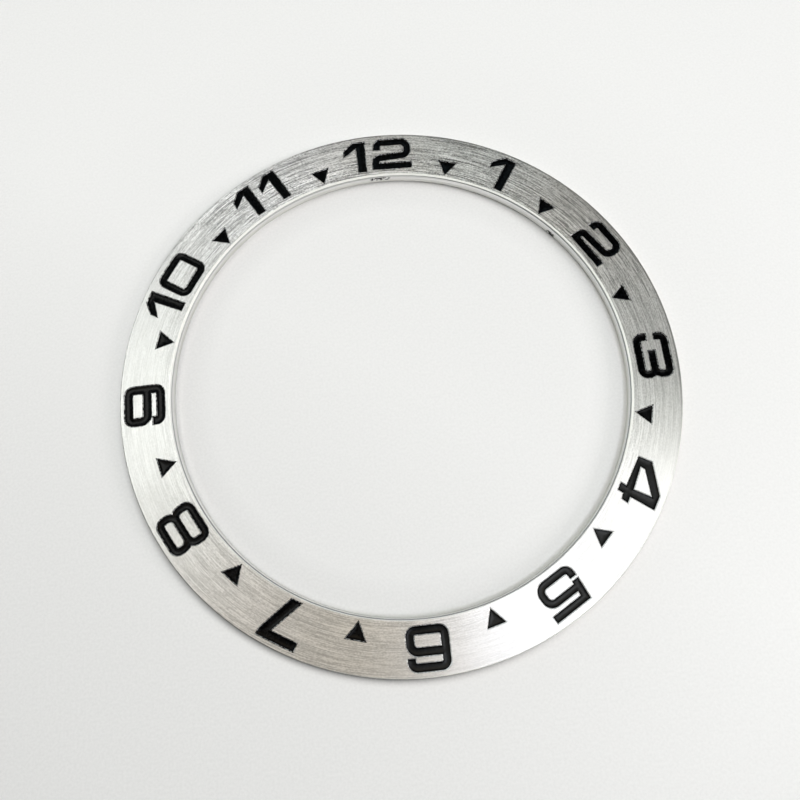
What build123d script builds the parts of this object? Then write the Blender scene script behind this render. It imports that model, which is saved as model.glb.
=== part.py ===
from build123d import *
import os
from math import atan2, degrees, dist

# The numbered insert ring of a watch bezel: a thin flat steel ring with the hours 1 to 12 and
# twelve small triangles engraved in its face. Each engraving is filled with black lacquer.
# All lengths are in millimetres. The origin is the centre of the back face, +Z points out of
# the numbered face, and 12 stands at +Y.

# The steel ring
bore_diameter = 31.1
band_width = 3.45
outer_diameter = bore_diameter + 2 * band_width
ring_thickness = 0.8
inner_bevel_width = 0.1
inner_bevel_drop = 0.1
edge_break = 0.04

# The engraving: straight walls up to the lacquer, then a flared lip up to the face
recess_depth = 0.3
lacquer_below_face = 0.06
lip_flare = 0.08
bend_beyond_lip = 0.01

# The numerals stand between a bare strip at the bore and one at the rim
bore_strip = 0.5
rim_strip = 0.45
digit_height = band_width - bore_strip - rim_strip
numeral_circle_radius = bore_diameter / 2 + bore_strip + digit_height / 2
corner_radius = 0.58
bowl_radius = 0.7

# The triangles between the hours
marker_strip = 0.41
marker_foot_radius = bore_diameter / 2 + marker_strip
marker_length = 1.0
marker_width = 1.18
marker_offset_degrees = 15.0

hours = 12
hour_step_degrees = 360 / hours

# How far each triangle stands clockwise of the middle between its two hours, from the one after
# 12 on. The real ones are a little uneven, and the first is plainly out of place.
marker_slip_degrees = [2.7, -0.1, -0.5, -0.45, 0.0, 0.3, 0.2, 0.15, -0.35, 0.1, 0.2, 0.2]

# Where each digit stands: its name, the digit and its hour; then its width, its height, the width
# of its strokes and its place beside and outside the hour's point on the numeral circle, all as
# shares of the digit height; and last its clockwise lean in degrees. The real ones are uneven.
digit_shares = [
    ("numeral_01", "1", 1, 0.63, 1.03, 0.18, 0.070, 0.000, 3.5),
    ("numeral_02", "2", 2, 1.17, 0.96, 0.175, 0.036, 0.008, 0.0),
    ("numeral_03", "3", 3, 1.24, 0.93, 0.172, 0.078, 0.010, 0.0),
    ("numeral_04", "4", 4, 1.24, 1.03, 0.18, 0.040, -0.010, 0.0),
    ("numeral_05", "5", 5, 1.09, 0.98, 0.17, -0.012, -0.016, 0.0),
    ("numeral_06", "6", 6, 1.05, 1.05, 0.182, 0.016, 0.002, 0.0),
    ("numeral_07", "7", 7, 1.01, 1.08, 0.18, 0.058, -0.020, 0.0),
    ("numeral_08", "8", 8, 1.10, 1.07, 0.165, 0.006, -0.018, 0.0),
    ("numeral_09", "9", 9, 1.08, 1.06, 0.195, -0.066, 0.016, -1.0),
    ("numeral_10_tens", "1", 10, 0.62, 1.00, 0.18, -0.840, -0.020, -4.0),
    ("numeral_10_units", "0", 10, 1.12, 0.97, 0.175, 0.252, -0.008, 2.5),
    ("numeral_11_tens", "1", 11, 0.62, 0.97, 0.18, -0.538, -0.012, 0.0),
    ("numeral_11_units", "1", 11, 0.62, 0.98, 0.18, 0.340, -0.008, 0.0),
    ("numeral_12_tens", "1", 12, 0.61, 0.98, 0.18, -0.666, -0.010, 0.0),
    ("numeral_12_units", "2", 12, 1.12, 0.97, 0.175, 0.435, 0.012, 2.0),
]

# The corners of the straight-sided digits, as shares of half their width and half their height
one_shares = [
    (0.31, -1.00), (1.00, -1.00), (1.00, 1.00), (-0.10, 1.00),
    (-0.96, 0.50), (-1.00, 0.14), (0.24, 0.70),
]
four_shares = [
    (-1.00, -0.60), (0.37, -0.68), (0.34, -1.00), (0.65, -1.00), (0.69, -0.71), (0.94, -0.68),
    (1.00, -0.36), (0.72, -0.35), (0.84, 0.96), (0.22, 1.00), (-1.00, 0.10),
]
four_counter_shares = [(-0.66, -0.37), (0.41, -0.31), (0.40, 0.69), (-0.63, -0.10)]
seven_shares = [
    (-0.385, -1.00), (0.13, -1.00), (0.99, 0.75), (1.00, 1.00),
    (-1.00, 1.00), (-1.00, 0.64), (0.47, 0.64),
]

# Where the strokes of the round digits end, cross or slope, as shares of the digit's height from
# its foot, or of its width from its left side
two_hook_share = 0.67
two_hook_inset_share = 0.035
two_middle_share = 0.45
two_slope_share = 0.08
three_hook_shares = (0.63, 0.38)
three_bar_end_share = 0.40
three_waist_share = 0.48
five_stem_end_share = 0.44
five_bowl_share = 0.60
five_hook_share = 0.34
five_slant_share = 0.05
six_bowl_share = 0.655
six_hook_share = 0.71
eight_waist_share = 0.515
eight_upper_width_share = 0.95

# The most that one bend may take up of a run between two bends, and of a run at an end
inner_run_share = 0.48
end_run_share = 0.96


def corners(shares, width, height):
    """Points at shares of half a width and half a height."""
    return [(x * width / 2, y * height / 2) for x, y in shares]


def polygon(shares, width, height):
    return Polygon(*corners(shares, width, height), align=None)


def level(share, height):
    """The height above a digit's middle of a level given as a share from its foot."""
    return (share - 0.5) * height


def stroke(points, outer_radii, pen):
    """A square-ended stroke along a path, with the radius of each bend over its outside.

    The inside of a bend stays rounder than the lip's flare, so that the lip can follow it.
    """
    sharpest = pen / 2 + lip_flare + bend_beyond_lip
    rooms = [inner_run_share * dist(start, end) for start, end in zip(points, points[1:])]
    rooms[0] *= end_run_share / inner_run_share
    rooms[-1] *= end_run_share / inner_run_share
    bends = []
    for outer, before, after in zip(outer_radii, rooms, rooms[1:]):
        bends.append(min(max(outer - pen / 2, sharpest), before, after))
    return trace(FilletPolyline(*points, radius=bends), pen)


def bar(left, right, bottom, top):
    """An upright rectangle between four sides."""
    return Pos((left + right) / 2, (bottom + top) / 2) * Rectangle(right - left, top - bottom)


def loop(side, low, high, low_radius, high_radius, pen):
    """A closed stroke, drawn as two halves that meet on the digit's middle line."""
    right = [(0, high), (side, high), (side, low), (0, low)]
    left = [(0, low), (-side, low), (-side, high), (0, high)]
    return [
        stroke(right, [high_radius, low_radius], pen),
        stroke(left, [low_radius, high_radius], pen),
    ]


# Each digit is a list of the pieces that it is joined from


def zero(width, height, pen):
    top = (height - pen) / 2
    return loop((width - pen) / 2, -top, top, corner_radius, corner_radius, pen)


def one(width, height, pen):
    return [polygon(one_shares, width, height)]


def two(width, height, pen):
    side = (width - pen) / 2
    top = (height - pen) / 2
    hook_side = two_hook_inset_share * width - side
    hook = level(two_hook_share, height)
    middle = level(two_middle_share, height)
    left_middle = middle - two_slope_share * height
    path = [
        (hook_side, hook), (hook_side, top), (side, top),
        (side, middle), (-side, left_middle), (-side, -top),
    ]
    swan = stroke(path, [corner_radius, bowl_radius, bowl_radius, corner_radius], pen)
    return [swan, bar(-width / 2, width / 2, -height / 2, pen - height / 2)]


def three(width, height, pen):
    side = (width - pen) / 2
    top = (height - pen) / 2
    waist = level(three_waist_share, height)
    upper_hook, lower_hook = [level(share, height) for share in three_hook_shares]
    bar_end = level(three_bar_end_share, width)
    radii = [corner_radius, corner_radius, bowl_radius]
    upper = [(-side, upper_hook), (-side, top), (side, top), (side, waist), (bar_end, waist)]
    lower = [(-side, lower_hook), (-side, -top), (side, -top), (side, waist), (bar_end, waist)]
    return [stroke(upper, radii, pen), stroke(lower, radii, pen)]


def four(width, height, pen):
    return [polygon(four_shares, width, height) - polygon(four_counter_shares, width, height)]


def five(width, height, pen):
    side = (width - pen) / 2
    left = -width / 2
    top = height / 2
    foot = (pen - height) / 2
    slant = five_slant_share * width
    stem_end = level(five_stem_end_share, height)
    bowl_top = level(five_bowl_share, height)
    hook = level(five_hook_share, height)
    path = [(-side, bowl_top), (side, bowl_top), (side, foot), (-side, foot), (-side, hook)]
    bowl = stroke(path, [bowl_radius, bowl_radius, corner_radius], pen)
    head = bar(left + slant, width / 2, top - pen, top)
    stem_points = [
        (left, stem_end), (left + pen, stem_end), (left + slant + pen, top), (left + slant, top),
    ]
    return [bowl, head, Polygon(*stem_points, align=None)]


def six(width, height, pen):
    side = (width - pen) / 2
    top = (height - pen) / 2
    hook = level(six_hook_share, height)
    bowl_top = level(six_bowl_share, height) - pen / 2
    bowl_middle = (bowl_top - top) / 2
    body = [
        (side, hook), (side, top), (-side, top), (-side, -top),
        (side, -top), (side, bowl_middle),
    ]
    bowl = [(side, bowl_middle), (side, bowl_top), (-side, bowl_top)]
    return [stroke(body, [corner_radius] * 4, pen), stroke(bowl, [bowl_radius], pen)]


def seven(width, height, pen):
    return [polygon(seven_shares, width, height)]


def eight(width, height, pen):
    side = (width - pen) / 2
    top = (height - pen) / 2
    waist = level(eight_waist_share, height)
    upper = loop(side * eight_upper_width_share, waist, top, bowl_radius, corner_radius, pen)
    return upper + loop(side, -top, waist, corner_radius, bowl_radius, pen)


def nine(width, height, pen):
    return [Rot(0, 0, 180) * piece for piece in six(width, height, pen)]


digit_makers = {
    "0": zero, "1": one, "2": two, "3": three, "4": four,
    "5": five, "6": six, "7": seven, "8": eight, "9": nine,
}


def numeral(digit, hour, *shares_and_lean):
    """The pieces of one digit at its place round the ring."""
    *shares, lean = shares_and_lean
    width, height, pen, aside, outside = [share * digit_height for share in shares]
    place = Rot(0, 0, -hour * hour_step_degrees) * Pos(aside, numeral_circle_radius + outside)
    return [place * Rot(0, 0, -lean) * piece for piece in digit_makers[digit](width, height, pen)]


def marker(turn_degrees):
    """A triangle that points to the centre, at a clockwise angle from 12."""
    head = marker_foot_radius + marker_length
    points = [(0, marker_foot_radius), (marker_width / 2, head), (-marker_width / 2, head)]
    return [Rot(0, 0, -turn_degrees) * Polygon(*points, align=None)]


engravings = {name: numeral(*row) for name, *row in digit_shares}
for index, slip in enumerate(marker_slip_degrees):
    turn = index * hour_step_degrees + marker_offset_degrees + slip
    engravings[f"marker_{index + 1:02d}"] = marker(turn)


def blank_ring():
    """The turned ring, before it is engraved."""
    bore = bore_diameter / 2
    rim = outer_diameter / 2
    section = Polyline(
        (bore + edge_break, 0),
        (rim - edge_break, 0),
        (rim, edge_break),
        (rim, ring_thickness - edge_break),
        (rim - edge_break, ring_thickness),
        (bore + inner_bevel_width, ring_thickness),
        (bore, ring_thickness - inner_bevel_drop),
        (bore, edge_break),
        close=True,
    )
    return revolve(Plane.XZ * make_face(section), Axis.Z)


floor_level = ring_thickness - recess_depth
lacquer_level = ring_thickness - lacquer_below_face
lip_angle = degrees(atan2(lip_flare, lacquer_below_face))


def lip(piece):
    """The flared part of a recess round one piece of its outline, above the lacquer."""
    return extrude(Pos(0, 0, lacquer_level) * piece, lacquer_below_face, taper=-lip_angle)


def fill(pieces):
    """The lacquer in one engraving, from the pocket's floor up to its own level."""
    outline = Sketch() + pieces
    return extrude(Pos(0, 0, floor_level) * outline, lacquer_level - floor_level)


fills = {name: fill(pieces) for name, pieces in engravings.items()}
ring = blank_ring()
for name, pieces in engravings.items():
    ring = ring - fills[name] - [lip(piece) for piece in pieces]

os.makedirs("parts", exist_ok=True)
export_step(ring, "parts/insert_ring.step")
for name, solid in fills.items():
    export_step(solid, f"parts/{name}.step")
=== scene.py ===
import math
import bmesh
import bpy
import numpy as np
from mathutils import Matrix, Vector, geometry


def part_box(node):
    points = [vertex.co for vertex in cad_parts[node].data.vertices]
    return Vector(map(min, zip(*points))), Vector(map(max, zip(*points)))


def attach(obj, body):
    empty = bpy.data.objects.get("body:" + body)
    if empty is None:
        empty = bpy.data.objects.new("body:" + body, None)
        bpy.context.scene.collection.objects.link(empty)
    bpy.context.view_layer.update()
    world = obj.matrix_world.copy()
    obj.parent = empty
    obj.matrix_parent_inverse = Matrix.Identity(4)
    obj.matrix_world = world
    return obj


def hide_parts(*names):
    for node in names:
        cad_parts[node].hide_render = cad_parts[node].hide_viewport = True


# A numbered steel insert ring that lies on a pale table. The steel ring is the CAD node with
# brushed steel on it. Each lacquer fill is remade with the sunken surface that paint dries to.
# Lengths are in metres, or in millimetres where a comment says so, and 12 stands at +Y.
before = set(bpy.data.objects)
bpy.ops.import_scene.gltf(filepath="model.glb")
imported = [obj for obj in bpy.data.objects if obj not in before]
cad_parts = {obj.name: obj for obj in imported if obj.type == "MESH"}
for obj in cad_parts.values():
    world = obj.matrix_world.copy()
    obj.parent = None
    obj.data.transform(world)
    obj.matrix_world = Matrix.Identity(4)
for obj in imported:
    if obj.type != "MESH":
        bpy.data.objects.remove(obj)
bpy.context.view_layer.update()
scene = bpy.context.scene
MM = 0.001
BACKDROP = (0.76, 0.77, 0.76, 1)
# The middle of the ring's band, in millimetres from the axis
MIDDLE_RADIUS = 17.3

# Where the look changes round the ring: angles in degrees, anticlockwise from 3
SCRATCHED_SIDE = 75
GLARE_SIDE = 305
SMALL_GLARE_SIDE = 183
DARK_RIM_SIDE = 30
BRIGHT_LINE_SIDE = 130
DARK_FOOT_SIDE = 50


# The camera, from a least-squares fit to the ring's edges and triangles in the photograph
CAMERA_AT = Vector((-0.822, -11.459, 41.195)) * MM
CAMERA_TARGET = Vector((-0.185, -1.561, 0.8)) * MM
CAMERA_ROLL = math.radians(-2.191)
FOCAL_PIXELS = 618.2
IMAGE_PIXELS = 800
SENSOR_WIDTH = 36

camera_data = bpy.data.cameras.new("camera")
camera_data.sensor_width = SENSOR_WIDTH
camera_data.lens = FOCAL_PIXELS / IMAGE_PIXELS * SENSOR_WIDTH
camera_data.clip_start = 0.001
camera_data.clip_end = 10
camera = bpy.data.objects.new("camera", camera_data)
scene.collection.objects.link(camera)
forward = (CAMERA_TARGET - CAMERA_AT).normalized()
level_right = forward.cross(Vector((0, 0, 1))).normalized()
level_up = level_right.cross(forward)
right = level_right * math.cos(CAMERA_ROLL) + level_up * math.sin(CAMERA_ROLL)
up = level_up * math.cos(CAMERA_ROLL) - level_right * math.sin(CAMERA_ROLL)
turn = Matrix((right, up, -forward)).transposed().to_4x4()
camera.matrix_world = Matrix.Translation(CAMERA_AT) @ turn
scene.camera = camera


def grey(value):
    return (value, value, value, 1)


def around(angle, distance):
    """The flat place at one angle and distance from the axis."""
    return (distance * math.cos(math.radians(angle)), distance * math.sin(math.radians(angle)))


class Nodes:
    """A node tree with a few short calls for its nodes."""

    def __init__(self, tree):
        self.tree = tree

    def add(self, kind, **settings):
        node = self.tree.nodes.new(kind)
        for key, value in settings.items():
            setattr(node, key, value)
        return node

    def put(self, socket, value):
        if isinstance(value, bpy.types.NodeSocket):
            self.tree.links.new(value, socket)
        else:
            socket.default_value = value

    def fill(self, node, *values):
        for socket, value in zip(node.inputs, values):
            self.put(socket, value)
        return node

    def math(self, operation, a, b):
        return self.fill(self.add("ShaderNodeMath", operation=operation), a, b).outputs[0]

    def plus(self, a, b):
        return self.math("ADD", a, b)

    def times(self, *factors):
        total = factors[0]
        for factor in factors[1:]:
            total = self.math("MULTIPLY", total, factor)
        return total

    def rest(self, value):
        return self.math("SUBTRACT", 1.0, value)

    def vector(self, operation, a, b=(0, 0, 0)):
        node = self.fill(self.add("ShaderNodeVectorMath", operation=operation), a, b)
        return node.outputs["Value" if operation in ("LENGTH", "DOT_PRODUCT") else "Vector"]

    def height(self, point):
        return self.fill(self.add("ShaderNodeSeparateXYZ"), point).outputs[2]

    def span(self, value, low, high, to_low=0.0, to_high=1.0, kind="LINEAR"):
        """One range of values mapped to another, and held at its ends."""
        node = self.add("ShaderNodeMapRange", interpolation_type=kind)
        return self.fill(node, value, low, high, to_low, to_high).outputs[0]

    def blend(self, factor, a, b):
        return self.fill(self.add("ShaderNodeMixShader"), factor, a, b).outputs[0]


class Shader(Nodes):
    """A material. The lengths that its calls take are in millimetres, and sockets in metres."""

    def __init__(self, name):
        self.material = bpy.data.materials.new(name)
        self.material.use_nodes = True
        super().__init__(self.material.node_tree)
        self.bsdf = self.tree.nodes["Principled BSDF"]
        self.point = self.add("ShaderNodeTexCoord").outputs["Object"]

    def set(self, **values):
        for key, value in values.items():
            self.put(self.bsdf.inputs[key.replace("_", " ")], value)

    def mix(self, factor, a, b):
        node = self.add("ShaderNodeMix", data_type="RGBA")
        self.put(node.inputs[0], factor)
        self.put(node.inputs[6], a)
        self.put(node.inputs[7], b)
        return node.outputs[2]

    def level(self):
        """How high above the table the place lies."""
        return self.height(self.point)

    def away(self):
        """How far the place lies from the ring's axis."""
        return self.vector("LENGTH", self.vector("MULTIPLY", self.point, (1, 1, 0)))

    def towards(self, angle):
        """How far the place lies from the axis in one direction."""
        return self.vector("DOT_PRODUCT", self.point, (*around(angle, 1.0), 0))

    def up(self, start, end, *more):
        """A factor that changes between two heights."""
        return self.span(self.level(), start * MM, end * MM, *more)

    def out(self, start, end, *more):
        """A factor that changes between two distances from the axis."""
        return self.span(self.away(), start * MM, end * MM, *more)

    def side(self, angle, start, end, *more):
        """A factor that changes between two distances from the axis in one direction."""
        return self.span(self.towards(angle), start * MM, end * MM, *more)

    def near_angle(self, angle, start, end):
        """A factor that changes between two cosines of the turn away from an angle."""
        return self.span(self.math("DIVIDE", self.towards(angle), self.away()), start, end)

    def noise(self, point, scale, detail):
        node = self.add("ShaderNodeTexNoise", noise_dimensions="3D")
        self.put(node.inputs["Vector"], point)
        self.put(node.inputs["Scale"], scale)
        self.put(node.inputs["Detail"], detail)
        return node.outputs[0]

    def bump(self, height, distance, strength):
        node = self.add("ShaderNodeBump")
        self.put(node.inputs["Height"], height)
        self.put(node.inputs["Distance"], distance * MM)
        self.put(node.inputs["Strength"], strength)
        return node.outputs[0]

    def streaks(self, centre, pitch, length, detail, seed):
        """Scratches that run round a centre, about as far apart and as long as is asked."""
        flat = self.vector("SUBTRACT", self.point, (*(value * MM for value in centre), 0))
        flat = self.vector("MULTIPLY", flat, (1, 1, 0))
        turns = (MIDDLE_RADIUS / length,) * 3
        turned = self.vector("MULTIPLY", self.vector("NORMALIZE", flat), turns)
        rise = self.add("ShaderNodeCombineXYZ")
        self.put(rise.inputs[2], self.times(self.vector("LENGTH", flat), 1 / (pitch * MM)))
        place = self.vector("ADD", turned, rise.outputs[0])
        place = self.vector("ADD", place, (seed, seed * 0.7, seed * 1.3))
        return self.noise(place, 1.0, detail)


def bright_line_shift(s):
    """How far the painted bright line beside the bore lies towards the axis, by side."""
    return s.side(BRIGHT_LINE_SIDE, 3, 13, -0.012 * MM, 0.036 * MM)


def brushed_face(bevel_radius):
    """Round-brushed steel: scratches nearly along the ring, each a few degrees off."""
    s = Shader("brushed_steel_face")
    # The centre's angle and distance, pitch, length, seed and share of each layer
    layers = (
        (220, 0.4, 0.056, 3.0, 0.0, 0.34),
        (40, 1.5, 0.06, 2.0, 3.1, 0.16),
        (200, 1.5, 0.06, 0.7, 7.7, 0.20),
        (0, 0.0, 0.06, 0.13, 12.9, 0.30),
    )
    total = 0.0
    for angle, distance, pitch, length, seed, share in layers:
        layer = s.streaks(around(angle, distance), pitch, length, 0.0, seed)
        total = s.plus(s.times(layer, share), total)
    scratch = s.span(total, 0.38, 0.62)
    # Painted light: the scratches are painted with most contrast between 12 and 1, where the
    # light shows them up most, and they all but drown where the steel glares
    painted_scratch_contrast = s.side(SCRATCHED_SIDE, 2, 14, 0.0, 1.0, "SMOOTHSTEP")
    hollow = s.mix(painted_scratch_contrast, grey(0.44), grey(0.16))
    crest = s.mix(painted_scratch_contrast, grey(0.73), grey(0.98))
    colour = s.mix(scratch, hollow, crest)
    # The steel is duller in broad streaks, and painted shade darkens it on three sides: angle,
    # start and amount of each
    broad = s.streaks(around(310, 0.6), 0.45, 6, 1.0, 5.2)
    dull_streaks_and_painted_shade = s.span(broad, 0.35, 0.65, 0.0, 0.12)
    for angle, start, most in ((12, 15.0, 0.26), (47, 15.9, 0.16), (95, 16.3, 0.22)):
        dull_streaks_and_painted_shade = s.plus(dull_streaks_and_painted_shade, s.side(angle, start, MIDDLE_RADIUS, 0.0, most))
    colour = s.mix(dull_streaks_and_painted_shade, colour, grey(0.3))
    # Painted shade: the steel darkens in a thin line along the rim on the side of 2
    line = s.times(s.out(18.82, 18.88, 0.0, 0.6), s.side(DARK_RIM_SIDE, 4, 14))
    colour = s.mix(line, colour, grey(0.15))
    # Painted glare: where the steel glares, near 5 and near 9, its colour is drawn to a flat grey
    # that hides the scratches
    painted_small_glare = s.side(SMALL_GLARE_SIDE, 14, 16.5, 0.0, 0.65)
    painted_glare = s.math("MAXIMUM", s.side(GLARE_SIDE, 12, 16, 0.0, 0.75), painted_small_glare)
    colour = s.mix(painted_glare, colour, grey(0.60))
    # Painted highlight: a bright, unmetallic line along the face beside the inner bevel, fainter
    # on the side opposite 12 and 1
    reach = s.plus(s.away(), bright_line_shift(s))
    painted_bright_line = s.span(reach, bevel_radius + 0.06 * MM, bevel_radius + 0.11 * MM, 1.0, 0.0)
    painted_bright_line = s.times(painted_bright_line, s.side(SCRATCHED_SIDE, -6, 0, 0.2, 1.0))
    s.set(
        Base_Color=s.mix(painted_bright_line, colour, (0.95, 0.95, 0.91, 1)), Metallic=s.rest(painted_bright_line),
        Roughness=s.span(scratch, 0.0, 1.0, 0.44, 0.40), Anisotropic=0.88,
        Anisotropic_Rotation=0.25, Normal=s.bump(total, 0.010, 1.0),
        Tangent=s.add("ShaderNodeTangent", direction_type="RADIAL", axis="Z").outputs[0],
    )
    return s.material


def engraved_lip():
    """The flared wall round each recess: cut metal with a dark, ragged top edge."""
    s = Shader("engraved_lip")
    ragged = s.noise(s.point, 6500, 3.0)
    level = s.plus(s.level(), s.times(s.math("SUBTRACT", ragged, 0.5), 0.22 * MM))
    # Painted light: each lip's top edge is painted dark as shade, and on the side where the steel
    # glares the lip is painted paler and that edge fainter
    painted_glare = s.side(GLARE_SIDE, 11, 16)
    painted_edge_shade = s.times(s.span(level, 0.768 * MM, 0.776 * MM), s.span(painted_glare, 0.0, 1.0, 1.0, 0.25))
    foot = s.up(0.765, 0.753)
    colour = s.mix(painted_edge_shade, s.mix(painted_glare, grey(0.50), grey(0.95)), grey(0.02))
    s.set(
        Base_Color=s.mix(foot, colour, grey(0.002)), Metallic=s.rest(foot),
        Specular_IOR_Level=0.06, Roughness=s.span(ragged, 0.3, 0.7, 0.40, 0.60),
        Normal=s.bump(s.noise(s.point, 14000, 1.0), 0.006, 0.6),
    )
    return s.material


def inner_bevel(top):
    """The bore's bevel: a painted highlight along the face, paler towards 12 and 1, and dark
    where it meets the wall.
    """
    s = Shader("inner_bevel")
    height = s.plus(s.level(), bright_line_shift(s))
    bright = s.span(height, top - 0.052 * MM, top - 0.046 * MM)
    painted_bright_line = s.mix(s.side(SCRATCHED_SIDE, -6, 0), grey(0.74), (0.96, 0.96, 0.92, 1))
    lines = s.streaks((0, 0), 0.03, 1.5, 1.0, 4.4)
    s.set(
        Base_Color=s.mix(bright, grey(0.35), painted_bright_line), Metallic=s.rest(bright),
        Roughness=s.span(lines, 0.3, 0.7, 0.42, 0.50), Normal=s.bump(lines, 0.002, 0.6),
    )
    return s.material


def in_bore(s):
    """One on the bore's wall, and nothing further out."""
    return s.out(16.0, 16.1, 1.0, 0.0)


def bore_wall_shade_and_nicks(s):
    """Where the bore's wall has painted shade at its foot or its top, and where it is nicked."""
    # Painted shade: a darkened foot and a darkened band below the top, each on one side
    foot = s.times(s.up(0.03, 0.08, 0.7, 0.0), s.side(DARK_FOOT_SIDE, 8, 14))
    brow = s.times(s.up(0.50, 0.60, 0.0, 0.4), s.side(BRIGHT_LINE_SIDE, 6, 13))
    # The angle, the cosines where it starts and is full, and the heights of each nicked place
    places = ((89.7, 0.9987, 0.9993, 0.26, 0.60), (39.6, 0.99970, 0.99985, 0.02, 0.40))
    fade = 0.04
    nicks = 0.0
    for angle, start, full, low, high in places:
        between = s.times(s.up(low, low + fade), s.up(high - fade, high, 1.0, 0.0))
        nicks = s.math("MAXIMUM", nicks, s.times(s.near_angle(angle, start, full), between))
    flecks = s.span(s.noise(s.point, 5500, 2.0), 0.46, 0.49)
    edges = s.math("MAXIMUM", foot, brow)
    return s.times(in_bore(s), s.math("MAXIMUM", edges, s.times(nicks, flecks)))


def turned_steel(name, value, lit_value, lit_angle, roughness, depth):
    """Lathe-turned steel with fine grooves that run round it, painted paler as if lit on the side
    of one angle.
    """
    s = Shader(name)
    groove_pitch, groove_length = 0.05 * MM, 2 * MM
    climb = s.add("ShaderNodeCombineXYZ")
    s.put(climb.inputs[2], s.times(s.plus(s.level(), s.away()), 1 / groove_pitch))
    along = s.vector("MULTIPLY", s.point, (1 / groove_length, 1 / groove_length, 0))
    grooves = s.noise(s.vector("ADD", along, climb.outputs[0]), 1.0, 1.0)
    tones = [(v * 0.99, v, v * 0.95, 1) for v in (value, lit_value)]
    colour = s.mix(s.side(lit_angle, 8, 15), *tones)
    # Painted light: the bore's wall is brighter in its upper half
    painted_upper_light = s.times(s.up(0.15, 0.45, 0.0, 0.8), in_bore(s))
    colour = s.mix(painted_upper_light, colour, grey(1.0))
    colour = s.mix(s.span(grooves, 0.35, 0.65, 0.14, 0.0), colour, grey(0.02))
    s.set(
        Base_Color=s.mix(bore_wall_shade_and_nicks(s), colour, grey(0.005)), Metallic=1.0,
        Roughness=s.span(grooves, 0.3, 0.7, roughness * 1.2, roughness * 0.85),
        Normal=s.bump(grooves, depth, 0.5),
    )
    return s.material


def black_lacquer():
    """Semi-gloss black paint with specks in it, and a painted haze of glare where the light
    glares on the steel.
    """
    s = Shader("black_lacquer_fill")
    speck = s.span(s.noise(s.point, 9000, 3.0), 0.48, 0.68)
    painted_glare_haze = s.times(s.side(GLARE_SIDE, 12, 16, 0.0, 0.017), s.up(0.712, 0.730, 1.0, 0.0))
    specked = s.mix(speck, grey(0.0002), (0.0042, 0.0047, 0.0057, 1))
    s.set(
        Base_Color=s.mix(painted_glare_haze, specked, grey(1.0)),
        Roughness=s.span(speck, 0.0, 1.0, 0.15, 0.24), Specular_IOR_Level=0.05,
        Normal=s.bump(s.noise(s.point, 8000, 2.0), 0.010, 0.5),
    )
    return s.material


def pale_table():
    """A pale, finely grained table with soft painted shades round the ring."""
    s = Shader("pale_table")
    grain = s.noise(s.point, 6000, 1.5)
    within = s.out(15.5, 16.0, 1.0, 0.0)
    beyond = s.rest(within)
    # Painted shade, on top of the grain's own random tone: darker towards 233 degrees, darker
    # just inside the opening, and a little dimmer round the middle
    grain_and_painted_shade = s.plus(s.span(grain, 0.3, 0.7, 0.0, 0.048), s.side(233, 0, 36, 0.0, 0.19))
    grain_and_painted_shade = s.plus(grain_and_painted_shade, s.times(within, s.out(13.0, 15.5, 0.0, 0.10)))
    grain_and_painted_shade = s.plus(grain_and_painted_shade, s.out(12, 30, 0.045, 0.0))
    # The painted shades close to the ring: which side of it, where each is full and gone across
    # the ring, its angle, where it starts and is full that way, its depth, and how fast it fades
    close_shades = (
        (within, 15.5, 14.6, 62, 7, 14.5, 0.36, 3.5),
        (beyond, 19.0, 19.7, 235, 8, 17, 1.15, 2.0),
        (beyond, 19.4, 19.9, 130, 17, 19, 0.36, 2.0),
    )
    for place, full, gone, angle, start, end, most, power in close_shades:
        close = s.math("POWER", s.out(full, gone, 1.0, 0.0), power)
        grain_and_painted_shade = s.plus(grain_and_painted_shade, s.times(place, close, s.side(angle, start, end, 0.0, most)))
    s.set(
        Base_Color=s.mix(grain_and_painted_shade, (0.94, 0.928, 0.93, 1), (0.0, 0.0, 0.0, 1)),
        Roughness=s.span(grain, 0.3, 0.7, 0.65, 0.55), Specular_IOR_Level=0.2,
    )
    # Far from the ring the table runs out into the pale background, so it shows no edge
    paths = s.add("ShaderNodeLightPath").outputs
    seen = s.math("MAXIMUM", paths["Is Camera Ray"], paths["Is Glossy Ray"])
    far = s.times(seen, s.out(50, 220, 0.0, 1.0, "SMOOTHSTEP"))
    backdrop = s.fill(s.add("ShaderNodeEmission"), BACKDROP, 1.0).outputs[0]
    seen_above = s.blend(far, s.bsdf.outputs[0], backdrop)
    # From below the table is clear, so that the ring's back can be looked at
    backfacing = s.add("ShaderNodeNewGeometry").outputs["Backfacing"]
    clear = s.add("ShaderNodeBsdfTransparent").outputs[0]
    surface = s.blend(backfacing, seen_above, clear)
    s.put(s.tree.nodes["Material Output"].inputs["Surface"], surface)
    return s.material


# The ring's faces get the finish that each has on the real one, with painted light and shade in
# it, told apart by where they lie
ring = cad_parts["insert_ring"]
_, ring_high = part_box("insert_ring")
face_level = ring_high.z
rim_radius = ring_high.x
bore_radius = min(math.hypot(v.co.x, v.co.y) for v in ring.data.vertices)
BEVEL_WIDTH = 0.1 * MM
BEVEL_REACH = 0.11 * MM
RIM_BREAK_WIDTH = 0.05 * MM
TOP_SLACK = 0.01 * MM
FLAT_UPRIGHT = 0.99
SLOPING_UPRIGHT = 0.1
FACE, LIP, BEVEL, TURNED, RIM_BREAK = range(5)
FINISHES = (
    brushed_face(bore_radius + BEVEL_WIDTH), engraved_lip(), inner_bevel(face_level),
    # Both turned finishes are painted paler on one side as lit: the turned edge towards 12 and 1,
    # the rim's broken edge where the steel glares
    turned_steel("turned_edge", 0.80, 0.97, SCRATCHED_SIDE, 0.34, 0.003),
    turned_steel("broken_rim_edge", 0.12, 0.90, GLARE_SIDE, 0.45, 0.001),
)


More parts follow.
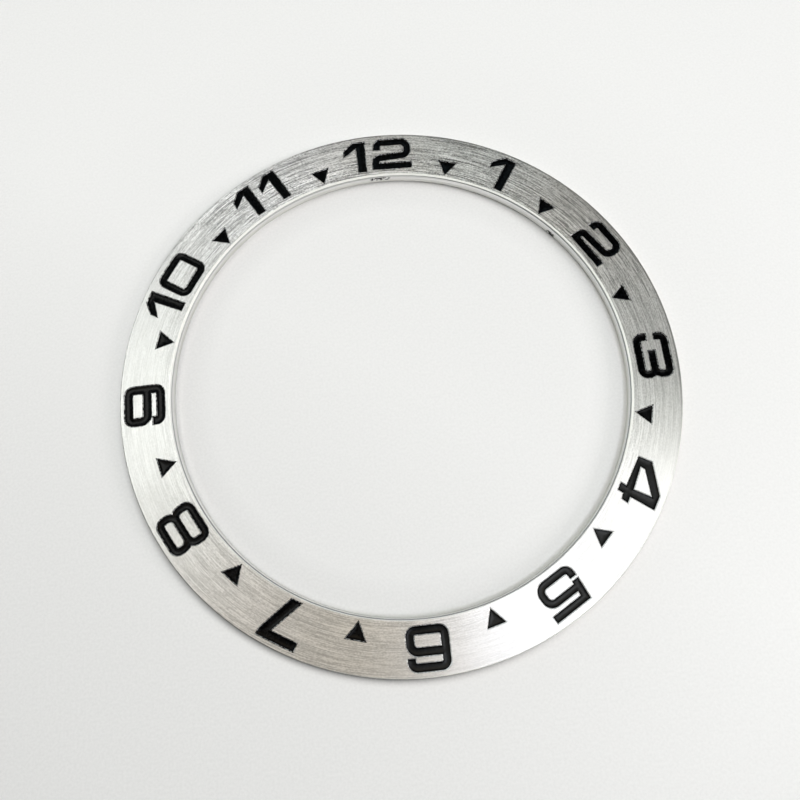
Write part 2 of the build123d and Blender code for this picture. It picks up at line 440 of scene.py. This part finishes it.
def finish_of(polygon):
    """Which of the finishes a face of the ring gets."""
    radius = math.hypot(polygon.center.x, polygon.center.y)
    upright = polygon.normal.z
    if upright > FLAT_UPRIGHT and polygon.center.z > face_level - TOP_SLACK:
        return FACE
    if upright <= SLOPING_UPRIGHT:
        return TURNED
    if radius < bore_radius + BEVEL_REACH:
        return BEVEL
    return LIP if radius < rim_radius - RIM_BREAK_WIDTH else RIM_BREAK


ring.data.materials.clear()
for material in FINISHES:
    ring.data.materials.append(material)
for polygon in ring.data.polygons:
    polygon.material_index = finish_of(polygon)


# The lacquer fills, whose tops sink away from their walls
MENISCUS_DEPTH = 0.035 * MM
MENISCUS_WIDTH = 0.10 * MM
EDGE_STEP = 0.07 * MM
EDGE_ROWS = (0.025 * MM, 0.06 * MM, 0.10 * MM)
ROW_SLACK = 0.93
GRID = 0.06 * MM
EQUAL_TRIANGLE_HEIGHT = 0.866
SAME_LEVEL = 1e-7
KEY_DIGITS = 8
MERGE_MILLIMETRES = 1e-6


def top_loops(mesh, level):
    """The closed edges of the mesh's top face, as lists of flat points."""
    def key(index):
        co = mesh.vertices[index].co
        return (round(co.x, KEY_DIGITS), round(co.y, KEY_DIGITS))
    edges = {}
    for polygon in mesh.polygons:
        if all(abs(mesh.vertices[i].co.z - level) < SAME_LEVEL for i in polygon.vertices):
            keys = [key(i) for i in polygon.vertices]
            for a, b in zip(keys, keys[1:] + keys[:1]):
                edges[(a, b)] = True
    follow = {a: b for a, b in edges if (b, a) not in edges}
    loops = []
    while follow:
        start, here = follow.popitem()
        loop = [start]
        while here != start:
            loop.append(here)
            here = follow.pop(here)
        loops.append(np.array(loop))
    return loops


def finer(loop, step):
    """The loop with more points on its long edges."""
    points = []
    for a, b in zip(loop, np.roll(loop, -1, axis=0)):
        count = max(1, math.ceil(np.hypot(*(b - a)) / step))
        points += [a + (b - a) * i / count for i in range(count)]
    return np.array(points)


def edge_distance(points, starts, ends):
    """How far each point is from the nearest of the edges."""
    run = ends - starts
    offset = points[:, None, :] - starts[None]
    share = np.clip((offset * run).sum(-1) / (run * run).sum(-1), 0, 1)
    return np.sqrt(((offset - share[..., None] * run) ** 2).sum(-1)).min(1)


def inside(points, starts, ends):
    """True for the points that the edges go round an odd number of times."""
    x, y = points[:, 0][:, None], points[:, 1][:, None]
    x0, y0, x1, y1 = starts[:, 0], starts[:, 1], ends[:, 0], ends[:, 1]
    spans = (y0 > y) != (y1 > y)
    level_edge_rise = 1e-12
    rise = np.where(y1 == y0, level_edge_rise, y1 - y0)
    return ((x < (x1 - x0) * (y - y0) / rise + x0) & spans).sum(1) % 2 == 1


def inner_points(low, high, starts, ends):
    """Points over the whole top: rows along its edges, and a grid of triangles in the middle.

    A row's point is left out where another edge is much nearer than its own."""
    run = ends - starts
    inward = np.stack([-run[:, 1], run[:, 0]], -1) / np.hypot(run[:, 0], run[:, 1])[:, None]
    sets = []
    for row in EDGE_ROWS:
        points = (starts + ends) / 2 + inward * row
        sets.append(points[edge_distance(points, starts, ends) > row * ROW_SLACK])
    xs = np.arange(low.x, high.x, GRID)
    ys = np.arange(low.y, high.y, GRID * EQUAL_TRIANGLE_HEIGHT)
    grid = np.array([(x + (j % 2) * GRID / 2, y) for j, y in enumerate(ys) for x in xs])
    sets.append(grid[edge_distance(grid, starts, ends) > EDGE_ROWS[-1] + GRID / 2])
    middle = np.concatenate(sets)
    return middle[inside(middle, starts, ends)]


def top_triangles(loops, flat, starts, ends):
    """The flat points joined up to triangles that stay within the loops."""
    rim = []
    for loop in loops:
        first = len(rim)
        rim += [(first + i, first + (i + 1) % len(loop)) for i in range(len(loop))]
    points, _, faces, *_ = geometry.delaunay_2d_cdt(
        [Vector(p / MM) for p in flat], rim, [], 0, MERGE_MILLIMETRES)
    points = np.array([(p.x, p.y) for p in points]) * MM
    faces = np.array(faces)
    return points, faces[inside(points[faces].mean(1), starts, ends)]


def closed_mesh(name, tops, faces, floor):
    """A mesh with the given top, upright walls and a flat floor."""
    form = bmesh.new()
    verts = [form.verts.new(top) for top in tops]
    for a, b, c in faces:
        form.faces.new((verts[a], verts[b], verts[c])).smooth = True
    form.normal_update()
    for face in list(form.faces):
        if face.normal.z < 0:
            face.normal_flip()
    feet = {}
    for edge in [e for e in form.edges if e.is_boundary]:
        loop = edge.link_loops[0]
        a, b = loop.vert, loop.link_loop_next.vert
        for vert in (a, b):
            if vert not in feet:
                feet[vert] = form.verts.new((vert.co.x, vert.co.y, floor))
        form.faces.new((b, a, feet[a], feet[b]))
    bottom = [e for e in form.edges if e.is_boundary]
    bmesh.ops.triangle_fill(form, edges=bottom, use_beauty=True, normal=Vector((0, 0, -1)))
    mesh = bpy.data.meshes.new(name)
    form.to_mesh(mesh)
    form.free()
    return mesh


def lacquer(name, material):
    """A fill whose top sinks away from its walls, as drying paint does."""
    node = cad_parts[name]
    low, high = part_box(name)
    loops = [finer(loop, EDGE_STEP) for loop in top_loops(node.data, high.z)]
    starts = np.concatenate(loops)
    ends = np.concatenate([np.roll(loop, -1, axis=0) for loop in loops])
    flat = np.concatenate([starts, inner_points(low, high, starts, ends)])
    points, faces = top_triangles(loops, flat, starts, ends)
    reach = edge_distance(points, starts, ends) / MENISCUS_WIDTH
    depth = MENISCUS_DEPTH * (1 - np.exp(-reach))
    tops = [(x, y, high.z - d) for (x, y), d in zip(points, depth)]
    mesh = closed_mesh(name + "_lacquer", tops, faces, low.z)
    mesh.materials.append(material)
    piece = bpy.data.objects.new(name + "_lacquer", mesh)
    scene.collection.objects.link(piece)
    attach(piece, "root")
    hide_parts(name)


lacquer_material = black_lacquer()
for name in sorted(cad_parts):
    if name != "insert_ring":
        lacquer(name, lacquer_material)


# The table, a little below the ring, and open under it, where only the ring's back would see it
TABLE_SIDES = 128
TABLE_RADII = (15.7 * MM, 18.85 * MM, 2.0)
TABLE_LEVEL = -0.001 * MM
points = []
for radius in TABLE_RADII:
    points += [(*around(360 * i / TABLE_SIDES, radius), TABLE_LEVEL) for i in range(TABLE_SIDES)]
faces = [tuple(range(TABLE_SIDES))]
for i in range(TABLE_SIDES):
    a, b = TABLE_SIDES + i, TABLE_SIDES + (i + 1) % TABLE_SIDES
    faces.append((a, a + TABLE_SIDES, b + TABLE_SIDES, b))
table_mesh = bpy.data.meshes.new("table")
table_mesh.from_pydata(points, [], faces)
table = bpy.data.objects.new("table", table_mesh)
scene.collection.objects.link(table)
table_mesh.materials.append(pale_table())


# Soft lamps on a dome round the ring: azimuth, height angle, power and colour of each. A
# least-squares fit to the photograph's tones gave them, and some were changed after it.
LAMP_DISTANCE = 0.5
LAMP_SIZE = 0.16
LAMPS = (
    (342, 68, 0.44, (0.99, 1.00, 1.00)),
    (144, 68, 0.50, (0.99, 1.00, 0.95)),
    (306, 68, 0.53, (0.88, 0.92, 1.00)),
    (0, 48, 0.26, (0.98, 1.00, 0.93)),
    (0, 90, 0.21, (1.00, 0.82, 0.60)),
    (72, 48, 0.07, (0.65, 0.89, 1.00)),
    (198, 68, 0.11, (1.00, 0.87, 0.77)),
    (342, 28, 0.62, (1.00, 0.97, 0.95)),
)
for index, (azimuth, height, power, colour) in enumerate(LAMPS):
    data = bpy.data.lights.new(f"lamp_{index + 1}", "AREA")
    data.shape = "DISK"
    data.size = LAMP_SIZE
    data.energy = power
    data.color = colour
    lamp = bpy.data.objects.new(data.name, data)
    scene.collection.objects.link(lamp)
    climb = math.radians(height)
    flat_place = around(azimuth, math.cos(climb))
    lamp.location = Vector((*flat_place, math.sin(climb))) * LAMP_DISTANCE
    lamp.rotation_euler = (-lamp.location).to_track_quat("-Z", "Y").to_euler()


# A pale room that is brighter on one side: which side, and by how much, is from the same fit
ROOM_LIGHT = (0.87, 1, 0.99, 1)
BRIGHT_WALL = around(135, 0.69)
LEAST_STRENGTH = 0.03
WALL_TOP = (0.12, 0.50)
world = bpy.data.worlds.new("soft_room")
world.use_nodes = True
room = Nodes(world.node_tree)
direction = room.add("ShaderNodeTexCoord").outputs["Generated"]
facing = room.vector("DOT_PRODUCT", direction, (*BRIGHT_WALL, 0))
light = room.fill(
    room.tree.nodes["Background"], ROOM_LIGHT, room.math("MAXIMUM", facing, LEAST_STRENGTH))
# Its walls show pale to the camera, and low down also in the steel
walls = room.fill(room.add("ShaderNodeBackground"), BACKDROP)
paths = room.add("ShaderNodeLightPath").outputs
low_down = room.span(room.height(direction), *WALL_TOP, 1.0, 0.0)
in_steel = room.times(paths["Is Glossy Ray"], low_down)
seen = room.math("MAXIMUM", paths["Is Camera Ray"], in_steel)
both = room.blend(seen, light.outputs[0], walls.outputs[0])
room.put(room.tree.nodes["World Output"].inputs["Surface"], both)
scene.world = world
scene.view_settings.view_transform = "Standard"
